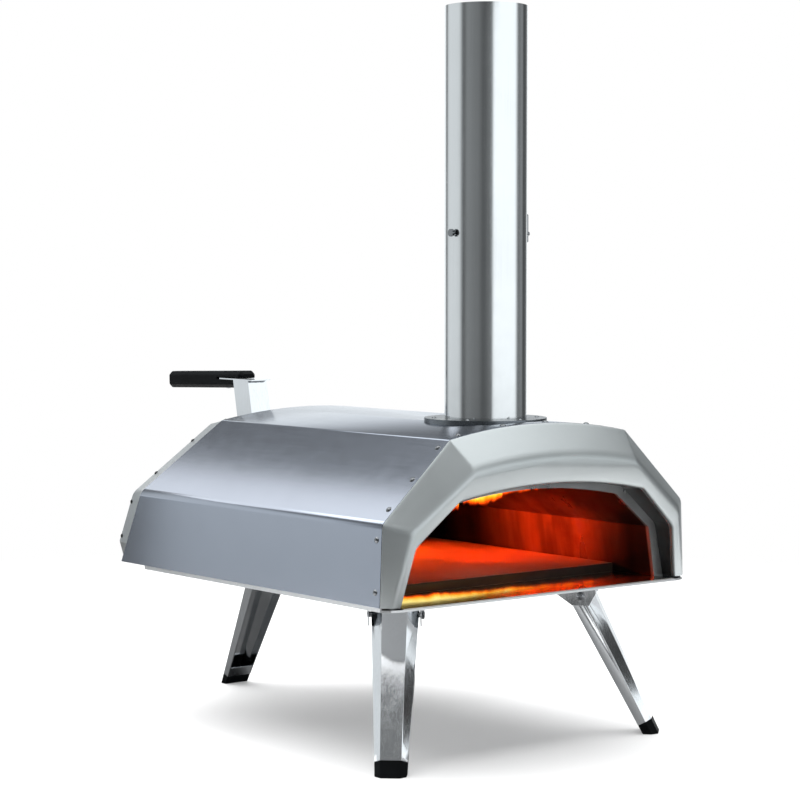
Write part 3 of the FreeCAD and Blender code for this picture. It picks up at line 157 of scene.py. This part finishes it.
LINE_LENGTH = 100  # how many times longer than wide a brush line is


def brushed(name, colour, along, rough=(0.22, 0.34), groove=0.00002, wear=0.06, anisotropic=0.55,
            shaded_cut_edges="", pitch=900.0):
    """Brushed sheet steel: fine lines along one axis, faint rolling marks and handling haze.

    rough is the range of roughness, groove the depth of the lines in metres, wear the spread of tone,
    and pitch the scale across the lines. shaded_cut_edges names the axes that the sheet's cut edges face:
    those get painted shade, a dark colour that stands partly for laser scale and partly for the shade in
    the seams.
    """
    shader = Shader(name)
    lines = [pitch, pitch, pitch]
    lines["XYZ".index(along)] = pitch / LINE_LENGTH
    grain = shader.noise(1.0, 5.0, 0.6, shader.stretched(tuple(lines)))
    haze = shader.noise(7.0, 3.0, 0.5)
    spots = shader.noise(60.0, 6.0, 0.6)
    tone = shader.math("ADD", shader.math("MULTIPLY", grain, 0.45), shader.math("MULTIPLY", haze, 0.55))
    face = shader.ramp(tone, [
        (0.30, tint(colour, 1 - 2 * wear)), (0.50, colour), (0.72, tint(colour, 1 + wear)),
    ])
    # Painted shade: cut edges facing these axes are coloured dark, partly as laser scale and partly as the
    # shade of the seams between parts.
    for axis in shaded_cut_edges:
        edge = shader.ramp(spots, [(0.3, (0.02, 0.02, 0.022)), (0.7, (0.07, 0.07, 0.075))])
        face = shader.mix(shader.span(shader.normal(axis), 0.0, 1.0, 0.80, 0.88), face, edge)
    shader.colour(face)
    streaky = shader.math(
        "ADD", shader.math("MULTIPLY", grain, 0.6), shader.math("MULTIPLY", spots, 0.4))
    shader.rough(shader.span(streaky, *rough, 0.35, 0.65))
    shader.bump(grain, groove, 0.6)
    shader.set(Metallic=1.0, Anisotropic=anisotropic)
    return shader.material


def satin_pressing():
    """The surround: bead-blasted steel, faintly green-grey, with a fine even grain."""
    shader = Shader("surround_satin")
    grain = shader.noise(1600.0, 2.0, 0.6)
    haze = shader.noise(9.0, 4.0, 0.5)
    shader.colour(shader.ramp(haze, [(0.3, (0.44, 0.47, 0.475)), (0.7, (0.49, 0.52, 0.525))]))
    satin = shader.math("ADD", grain, shader.math("MULTIPLY", haze, 0.4))
    shader.rough(shader.span(satin, 0.36, 0.50, 0.5, 0.9))
    shader.bump(grain, 0.00003, 0.5)
    shader.set(Metallic=1.0)
    return shader.material


def flame_and_shade_black():
    """Steel behind the mouth's edge, black partly from flame and partly as painted shade, with brown and
    grey patches.
    """
    shader = Shader("mouth_black")
    soot = shader.noise(35.0, 6.0, 0.6)
    # Partly painted shade: the near-black colour stands in part for the shade inside the mouth's jamb.
    shader.colour(shader.ramp(soot, [(0.35, (0.012, 0.013, 0.014)), (0.62, (0.045, 0.047, 0.047)),
                                     (0.8, (0.07, 0.055, 0.045))]))
    shader.rough(shader.span(soot, 0.32, 0.6))
    shader.bump(shader.noise(900.0, 3.0), 0.00003, 0.5)
    shader.set(Metallic=0.6)
    return shader.material


def chamber_steel():
    """The liner: tempered steel, sooted high up, at its rear and by the mouth, clean on its flange."""
    sooted_above = (0.234, 0.264)
    sooted_behind = (-0.13, -0.03)
    sooted_before = (-0.29, -0.21)
    clean_before = (-0.3205, -0.318)
    shader = Shader("chamber_tempered")
    streaks = shader.noise(1.0, 4.0, 0.55, shader.stretched((26.0, 26.0, 4.0)))
    clouds = shader.noise(16.0, 5.0, 0.6, distortion=0.6)
    temper = shader.ramp(clouds, [(0.25, (0.30, 0.20, 0.14)), (0.45, (0.42, 0.30, 0.20)),
                                  (0.6, (0.36, 0.27, 0.24)), (0.78, (0.20, 0.19, 0.24))])
    soot = shader.ramp(streaks, [(0.3, (0.012, 0.011, 0.011)), (0.7, (0.035, 0.03, 0.028))])
    clean = shader.ramp(clouds, [(0.3, (0.36, 0.37, 0.37)), (0.7, (0.42, 0.43, 0.43))])
    walls = shader.mix(shader.span(shader.axis("Z"), 0.0, 1.0, *sooted_above), temper, soot)
    walls = shader.mix(shader.span(streaks, 0.0, 0.7, 0.42, 0.66), walls, soot)
    walls = shader.mix(shader.span(shader.axis("Y"), 0.0, 1.0, *sooted_behind), walls, soot)
    walls = shader.mix(shader.span(shader.axis("Y"), 1.0, 0.0, *sooted_before), walls, soot)
    shader.colour(shader.mix(shader.span(shader.axis("Y"), 1.0, 0.0, *clean_before), walls, clean))
    shader.rough(shader.span(streaks, 0.24, 0.46))
    shader.bump(streaks, 0.00003, 0.6)
    shader.set(Metallic=0.9, Anisotropic=0.3)
    return shader.material


def cordierite():
    """The baking stone: pale sandy ceramic with grit and faint stains, with painted shade on its front
    face.
    """
    shader = Shader("stone_cordierite")
    stains = shader.noise(14.0, 5.0, 0.55, distortion=0.8)
    grit = shader.noise(900.0, 3.0, 0.65)
    base = shader.ramp(stains, [
        (0.3, (0.30, 0.25, 0.19)), (0.55, (0.44, 0.38, 0.30)), (0.8, (0.50, 0.44, 0.36)),
    ])
    flecks = shader.ramp(grit, [
        (0.36, (0.20, 0.17, 0.13)), (0.46, (0.46, 0.40, 0.32)), (0.7, (0.54, 0.48, 0.39)),
    ])
    face = shader.mix(shader.span(grit, 0.25, 0.7), base, flecks)
    # Painted shade: faces pointing front or back along Y are coloured dark brown, standing for the shadow
    # on the stone's front face.
    painted_front_shade = shader.ramp(stains, [(0.3, (0.045, 0.03, 0.022)), (0.7, (0.10, 0.065, 0.045))])
    shader.colour(shader.mix(shader.span(shader.normal("Y"), 0.0, 1.0, 0.3, 0.8), face, painted_front_shade))
    shader.rough(shader.span(stains, 0.72, 0.92))
    shader.bump(grit, 0.0003, 0.7)
    return shader.material


def fibre_blanket():
    """Ceramic wool: matted white fibres."""
    shader = Shader("blanket_fibre")
    mats = shader.noise(260.0, 8.0, 0.75, distortion=2.0)
    shader.colour(shader.ramp(mats, [(0.3, (0.70, 0.69, 0.65)), (0.7, (0.88, 0.87, 0.84))]))
    shader.set(Roughness=0.95)
    shader.bump(mats, 0.0012, 0.8)
    return shader.material


def dark_grate():
    """The grate: scaled dark steel with ash dust on it."""
    shader = Shader("grate_scaled")
    scale = shader.noise(220.0, 6.0, 0.65)
    ash = shader.noise(40.0, 5.0, 0.6)
    dark = shader.ramp(scale, [(0.35, (0.03, 0.027, 0.025)), (0.7, (0.11, 0.085, 0.07))])
    dust = shader.ramp(scale, [(0.3, (0.25, 0.23, 0.21)), (0.7, (0.38, 0.36, 0.33))])
    shader.colour(shader.mix(shader.span(ash, 0.0, 0.8, 0.45, 0.7), dark, dust))
    shader.rough(shader.span(scale, 0.55, 0.85))
    shader.bump(scale, 0.0002, 0.7)
    shader.set(Metallic=0.5)
    return shader.material


def moulded(name, colour, dullness):
    """Moulded black plastic with a fine spark-eroded grain; dullness is about its roughness."""
    shader = Shader(name)
    grain = shader.noise(1500.0, 3.0, 0.6)
    haze = shader.noise(22.0, 4.0, 0.5)
    shader.colour(shader.ramp(haze, [(0.3, tint(colour, 0.75)), (0.7, tint(colour, 1.4))]))
    shader.rough(shader.span(grain, dullness - 0.06, dullness + 0.10))
    shader.bump(grain, 0.00008, 0.6)
    shader.set(Specular_IOR_Level=0.05)
    return shader.material


# One finish for each material slot of the record.
materials = {
    # The casing's cut edges that face Y are painted dark: partly laser scale, partly painted shade in the
    # seams.
    "casing_steel": brushed(
        "casing_brushed", (0.37, 0.405, 0.47), along="Y", rough=(0.17, 0.22), groove=0.000004, wear=0.03,
        anisotropic=0.2, shaded_cut_edges="Y", pitch=1500.0),
    "surround_steel": satin_pressing(),
    # The mouth's return is black partly from flame and partly as painted shade.
    "mouth_steel": flame_and_shade_black(),
    "chamber_steel": chamber_steel(),
    "floor_steel": brushed(
        "floor_polished", (0.60, 0.57, 0.53), along="X", rough=(0.10, 0.18), groove=0.000008, wear=0.06,
        anisotropic=0.3),
    "pan_steel": brushed("pan_brushed", (0.60, 0.61, 0.62), along="X", rough=(0.26, 0.40)),
    "fibre_blanket": fibre_blanket(),
    "rear_steel": brushed("rear_brushed", (0.46, 0.48, 0.49), along="X", rough=(0.28, 0.42)),
    "fuel_steel": brushed("fuel_brushed", (0.52, 0.51, 0.50), along="X", rough=(0.26, 0.42), wear=0.10),
    "grate_steel": dark_grate(),
    "flue_steel": brushed(
        "flue_brushed", (0.63, 0.65, 0.66), along="Z", rough=(0.10, 0.19), groove=0.000008, wear=0.04,
        anisotropic=0.3),
    "flange_steel": brushed("flange_brushed", (0.15, 0.165, 0.18), along="X", rough=(0.22, 0.34)),
    "fastener_steel": brushed(
        "fastener_bright", (0.20, 0.21, 0.22), along="Z", rough=(0.05, 0.10), wear=0.15),
    "dark_fastener": brushed("fastener_blackened", (0.035, 0.036, 0.038), along="Z", rough=(0.30, 0.42)),
    "leg_steel": brushed(
        "leg_polished", (0.66, 0.68, 0.70), along="Z", rough=(0.08, 0.17), groove=0.000005, wear=0.06,
        anisotropic=0.3, pitch=700.0),
    "stone": cordierite(),
    "black_plastic": moulded("grip_plastic", (0.0025, 0.0030, 0.0035), dullness=0.40),
    "foot_plastic": moulded("foot_plastic", (0.003, 0.0035, 0.004), dullness=0.50),
}
slot_of = {part["node"]: part["material_slot"] for part in frame["record"]["subparts"]}
for name, thing in nodes.items():
    finish = materials[slot_of[name]]
    for slot in thing.material_slots:
        slot.material = finish


# ---------------------------------------------------------------- softened edges

WELD_REACH = 0.00001
FLAT_ANGLE = 0.6  # degrees between faces that count as one flat
SHARP_ANGLE = 28.0  # degrees at which an edge is sharp enough to be rounded


def soften(name, radius):
    """Rounds a CAD piece's sharp edges the way a folded or moulded one is rounded."""
    thing = nodes[name]
    weld = thing.modifiers.new("join_corners", "WELD")
    weld.merge_threshold = WELD_REACH
    flat = thing.modifiers.new("merge_flats", "DECIMATE")
    flat.decimate_type = "DISSOLVE"
    flat.angle_limit = math.radians(FLAT_ANGLE)
    bevel = thing.modifiers.new("edge_radius", "BEVEL")
    bevel.width = radius
    bevel.segments = 2
    bevel.limit_method = "ANGLE"
    bevel.angle_limit = math.radians(SHARP_ANGLE)
    bevel.harden_normals = True


# Edge radius of each piece in metres.
for name, radius in {
    "front_surround": 0.0006, "mouth_return": 0.0004, "rear_panel": 0.0008, "base_pan": 0.0004,
    "hatch_lid": 0.0008, "hatch_grip": 0.0010, "baking_stone": 0.0006, "damper_disc": 0.0003,
    "outer_shell": 0.0003, "leg_front_left": 0.0007, "leg_front_right": 0.0007, "leg_rear": 0.0007,
    "foot_front_left": 0.0010, "foot_front_right": 0.0010, "foot_rear": 0.0010,
    "bracket_front_left": 0.0005, "bracket_front_right": 0.0005, "bracket_rear": 0.0005,
}.items():
    soften(name, radius)


# ---------------------------------------------------------------- camera and walls

CAMERA_PLACE = (-1.6311, -2.1410, 0.5123)
CAMERA_DIP = 3.147  # degrees below level
CAMERA_TURN = 38.597  # degrees to the right of straight ahead
FOCAL_LENGTH = 104.02
SENSOR_WIDTH = 36.0


def look():
    """The camera at the photograph's angle, left of the mouth and a little above it."""
    data = bpy.data.cameras.new("camera")
    data.lens = FOCAL_LENGTH
    data.sensor_width = SENSOR_WIDTH
    camera = bpy.data.objects.new("camera", data)
    camera.location = CAMERA_PLACE
    camera.rotation_euler = (math.radians(90 - CAMERA_DIP), 0.0, math.radians(-CAMERA_TURN))
    bpy.context.collection.objects.link(camera)
    bpy.context.scene.camera = camera


# Brightness of the walls by compass direction (0 and 1 are +X, 0.25 is +Y), as a share of white.
RING = (
    (0.00, 0.06), (0.05, 0.10), (0.10, 0.74), (0.20, 0.74), (0.245, 0.12), (0.28, 0.55), (0.30, 0.62),
    (0.41, 0.62), (0.455, 0.10), (0.49, 0.20), (0.57, 0.16), (0.62, 0.09), (0.68, 0.16), (0.70, 1.00),
    (0.88, 1.00), (0.92, 0.14), (0.97, 0.20), (0.995, 0.06),
)
# How the walls darken toward the floor, by the direction's height plus a half.
SKIRTING = ((0.36, 0.40), (0.46, 1.0))
# Brightness of the ceiling by the direction's height, and the heights over which it replaces the walls.
CEILING = ((0.30, 0.12), (0.65, 0.15), (0.71, 0.95), (0.80, 1.30), (1.00, 1.40))
CEILING_STARTS = ((0.25, 0.0), (0.55, 1.0))
REFLECTED = 1.6  # strength of the walls where steel mirrors them
SCATTERED = 0.18  # strength of the walls as soft fill light


def surroundings():
    """White walls with dark gaps round the studio, by compass direction, under a pale ceiling."""
    world = bpy.data.worlds.new("studio")
    world.use_nodes = True
    tree = world.node_tree
    link = tree.links.new

    def add(kind, **settings):
        return add_node(tree, kind, **settings)

    def levels(value, stops):
        """A smooth run of cool greys: stops are (position, level)."""
        node = add("ShaderNodeValToRGB")
        node.color_ramp.interpolation = "EASE"
        fill_ramp(node, [(position, (level * 0.97, level * 0.99, level)) for position, level in stops])
        link(value, node.inputs["Fac"])
        return node.outputs["Color"]

    direction = add("ShaderNodeSeparateXYZ")
    link(add("ShaderNodeTexCoord").outputs["Generated"], direction.inputs["Vector"])
    angle = add("ShaderNodeMath", operation="ARCTAN2")
    link(direction.outputs["Y"], angle.inputs[0])
    link(direction.outputs["X"], angle.inputs[1])
    turn = add("ShaderNodeMath", operation="DIVIDE")
    link(angle.outputs["Value"], turn.inputs[0])
    turn.inputs[1].default_value = 2 * math.pi
    compass = add("ShaderNodeMath", operation="WRAP")
    link(turn.outputs["Value"], compass.inputs[0])
    compass.inputs[1].default_value = 1.0
    compass.inputs[2].default_value = 0.0
    upward = add("ShaderNodeMath", operation="ADD")
    link(direction.outputs["Z"], upward.inputs[0])
    upward.inputs[1].default_value = 0.5

    walls = add("ShaderNodeMix", data_type="RGBA", blend_type="MULTIPLY")
    walls.inputs["Factor"].default_value = 1.0
    link(levels(compass.outputs["Value"], RING), walls.inputs["A"])
    link(levels(upward.outputs["Value"], SKIRTING), walls.inputs["B"])
    room = add("ShaderNodeMix", data_type="RGBA")
    link(levels(direction.outputs["Z"], CEILING_STARTS), room.inputs["Factor"])
    link(walls.outputs["Result"], room.inputs["A"])
    link(levels(direction.outputs["Z"], CEILING), room.inputs["B"])

    rays = add("ShaderNodeLightPath")
    strength = add("ShaderNodeMapRange")
    link(rays.outputs["Is Diffuse Ray"], strength.inputs["Value"])
    strength.inputs["To Min"].default_value = REFLECTED
    strength.inputs["To Max"].default_value = SCATTERED
    background = tree.nodes["Background"]
    link(room.outputs["Result"], background.inputs["Color"])
    link(strength.outputs["Result"], background.inputs["Strength"])
    paper = add("ShaderNodeBackground")
    paper.inputs["Color"].default_value = (*WHITE, 1.0)
    paper.inputs["Strength"].default_value = 1.0
    choose = add("ShaderNodeMixShader")
    link(rays.outputs["Is Camera Ray"], choose.inputs["Fac"])
    link(background.outputs["Background"], choose.inputs[1])
    link(paper.outputs["Background"], choose.inputs[2])
    link(choose.outputs["Shader"], tree.nodes["World Output"].inputs["Surface"])
    bpy.context.scene.world = world


# ---------------------------------------------------------------- lights, cards, fire and floor

def softbox(name, place, aim, width, height, power, colour=WHITE, shows=("diffuse", "glossy"),
            spread=180.0):
    """A rectangular light in watts, which only the kinds of ray named in shows can see."""
    data = bpy.data.lights.new(name, "AREA")
    data.shape = "RECTANGLE"
    data.size = width
    data.size_y = height
    data.energy = power
    data.color = colour
    data.spread = math.radians(spread)
    light = bpy.data.objects.new(name, data)
    light.location = place
    light.rotation_euler = (Vector(aim) - Vector(place)).to_track_quat("-Z", "Y").to_euler()
    light.visible_camera = False
    light.visible_diffuse = "diffuse" in shows
    light.visible_glossy = "glossy" in shows
    bpy.context.collection.objects.link(light)


def square(name, size):
    """A flat square in the scene, facing up, with sides of twice the size."""
    mesh = bpy.data.meshes.new(name)
    build = bmesh.new()
    bmesh.ops.create_grid(build, x_segments=1, y_segments=1, size=size)
    build.to_mesh(mesh)
    build.free()
    thing = bpy.data.objects.new(name, mesh)
    bpy.context.collection.objects.link(thing)
    return thing


def card(name, place, aim, width, height, shade):
    """A dark card that faces aim and shows only as a reflection in the polished steel."""
    thing = square(name, 0.5)
    thing.location = place
    thing.rotation_euler = (Vector(aim) - Vector(place)).to_track_quat("Z", "Y").to_euler()
    thing.scale = (width, height, 1.0)
    thing.visible_camera = False
    thing.visible_diffuse = False
    thing.visible_shadow = False
    shader = Shader(name)
    nap = shader.noise(30.0)
    shader.colour(shader.ramp(nap, [(0.3, (shade * 0.9,) * 3), (0.7, (shade * 1.1,) * 3)]))
    shader.set(Roughness=0.9)
    thing.data.materials.append(shader.material)


def studio():
    """Walls that show in the steel, a wide top light for the floor, and small lights and cards."""
    surroundings()
    softbox("top", (0.0, 0.75, 3.0), aim=(0.0, 0.0, 0.0), width=5.6, height=5.6, power=345.0,
            shows=("diffuse",), spread=140.0)
    # The bright band along the left shoulder.
    softbox("shoulder", (-0.386, 0.33, 0.605), aim=(-0.686, 0.33, -0.345), width=0.95, height=0.39,
            power=1.7, shows=("glossy",))
    # The front legs, the bracket of the right one, and the surround's side and top.
    card("before_leg", (-0.10, -0.52, 0.002), aim=(-0.10, -0.52, 1.0), width=0.60, height=0.52, shade=0.30)
    softbox("leg_top", (-0.71, -0.82, 0.83), aim=(-0.16, -0.29, 0.13), width=0.60, height=0.14,
            power=0.026, shows=("glossy",), spread=40.0)
    softbox("bracket_side", (-0.71, -0.79, 0.10), aim=(0.134, -0.2575, 0.15), width=0.25, height=0.12,
            power=0.0018, shows=("glossy",), spread=16.0)
    card("before_surround", (-1.15, -1.25, 0.002), aim=(-1.15, -1.25, 1.0), width=1.50, height=1.50,
         shade=0.03)
    card("over_surround", (-0.32, -0.72, 0.90), aim=(-0.32, -0.72, 0.0), width=0.50, height=0.50,
         shade=0.10)
    card("beside_leg", (0.43, -0.65, 0.225), aim=(0.16, -0.29, 0.225), width=0.60, height=0.12, shade=0.03)
    # The rear leg and the rear cap.
    card("left_of_rear_leg", (-0.28, 0.50, 0.002), aim=(-0.28, 0.50, 1.0), width=0.60, height=0.75,
         shade=0.08)
    card("under_rear_leg", (0.03, 0.10, 0.001), aim=(0.03, 0.10, 1.0), width=0.44, height=0.34, shade=0.12)
    card("left_of_rear_cap", (-0.50, 0.78, 0.14), aim=(0.0, 0.78, 0.14), width=0.50, height=0.24,
         shade=0.12)
    fire()


FIRELIGHT = (1.0, 0.034, 0.002)
EMBERLIGHT = (1.0, 0.058, 0.003)


def fire():
    """The fire in the fuel box: its glow over the stone and walls, and flames under the ceiling."""
    softbox("fire", (0.0, 0.07, 0.255), aim=(0.03, -0.06, 0.1855), width=0.14, height=0.03, power=0.75,
            colour=EMBERLIGHT, spread=110.0)
    softbox("glow", (-0.03, -0.15, 0.262), aim=(0.172, -0.13, 0.208), width=0.04, height=0.03, power=0.16,
            colour=FIRELIGHT, spread=62.0)
    flames("flames_left", -0.290, (-0.128, -0.075), hotter=0.72, offset=1.0)
    flames("flames_middle", -0.262, (-0.045, 0.010), hotter=0.55, offset=3.0)
    flames("flames_right", -0.250, (0.010, 0.085), hotter=0.22, offset=6.0)
    # The flames that only show mirrored in the floor's front ledge.
    mirrored = flames("flames_mirrored", -0.266, (-0.172, 0.14), hotter=0.28, offset=2.0,
                      heights=(0.1745, 0.1845), lean=0.54, arch=0.0)
    mirrored.visible_camera = False


def flames(name, y, across, hotter, offset, heights=(0.260, 0.282), lean=0.12, arch=0.8):
    """A sheet of flame between two heights, hotter toward its left end and torn along its lower edge.

    lean is how much hotter the left end is, arch how fast the sheet falls away from the middle as the
    ceiling does, and offset shifts its waves and tongues.
    """
    strips, waves, sway = 24, 9, 0.004
    left, right = across
    low, top = heights
    mesh = bpy.data.meshes.new(name)
    build = bmesh.new()
    rows = []
    for step in range(strips + 1):
        share = step / strips
        x = left + (right - left) * share
        shift = sway * math.sin(waves * share + offset)
        fall = arch * x * x
        above = build.verts.new((x, y + shift, top - fall))
        below = build.verts.new((x, y - shift, low - fall))
        rows.append((above, below))
    for (above, below), (next_above, next_below) in zip(rows, rows[1:]):
        build.faces.new((above, below, next_below, next_above))
    build.to_mesh(mesh)
    build.free()
    thing = bpy.data.objects.new(name, mesh)
    thing.visible_shadow = False
    thing.visible_diffuse = False
    bpy.context.collection.objects.link(thing)
    shader = Shader(name)
    mapping = shader.add("ShaderNodeMapping")
    mapping.inputs["Location"].default_value = (offset, 0.0, 0.0)
    mapping.inputs["Scale"].default_value = (42.0, 42.0, 30.0)
    shader.link(shader.place, mapping.inputs["Vector"])
    tongues = shader.noise(1.0, 3.0, 0.5, mapping.outputs["Vector"], 0.7)
    height = shader.span(shader.axis("Z"), -0.95, 0.10, low, top)
    leftward = shader.span(shader.axis("X"), lean, -lean, left, right)
    heat = shader.math("ADD", shader.math("ADD", tongues, height), shader.math("ADD", leftward, hotter))
    glow = shader.ramp(heat, [
        (0.30, (0.35, 0.01, 0.0)), (0.46, (1.0, 0.09, 0.004)), (0.60, (1.0, 0.36, 0.01)),
        (0.75, (1.0, 0.68, 0.08)), (0.92, (1.0, 0.85, 0.30)),
    ])
    shader.link(glow, shader.surface.inputs["Emission Color"])
    shader.set(Base_Color=(0.0, 0.0, 0.0, 1.0), Emission_Strength=1.6, Specular_IOR_Level=0.0)
    shader.link(shader.span(heat, 0.0, 1.0, 0.26, 0.46), shader.surface.inputs["Alpha"])
    mesh.materials.append(shader.material)
    return thing


def floor():
    """A pale paper floor that fades into the white studio a metre and a half away."""
    fade = (0.75, 1.55)
    thing = square("floor", 4.0)
    shader = Shader("floor_paper")
    fibres = shader.noise(400.0, 3.0)
    shader.colour(shader.ramp(fibres, [(0.3, (0.59, 0.59, 0.59)), (0.7, (0.61, 0.61, 0.61))]))
    shader.set(Roughness=0.85, Emission_Color=(*WHITE, 1.0), Emission_Strength=0.27)
    distance = shader.add("ShaderNodeVectorMath", operation="LENGTH")
    shader.link(shader.place, distance.inputs[0])
    gone = shader.span(distance.outputs["Value"], 1.0, 0.0, *fade)
    shader.link(gone, shader.surface.inputs["Alpha"])
    thing.data.materials.append(shader.material)


look()
studio()
floor()
bpy.context.scene.view_settings.view_transform = "Standard"
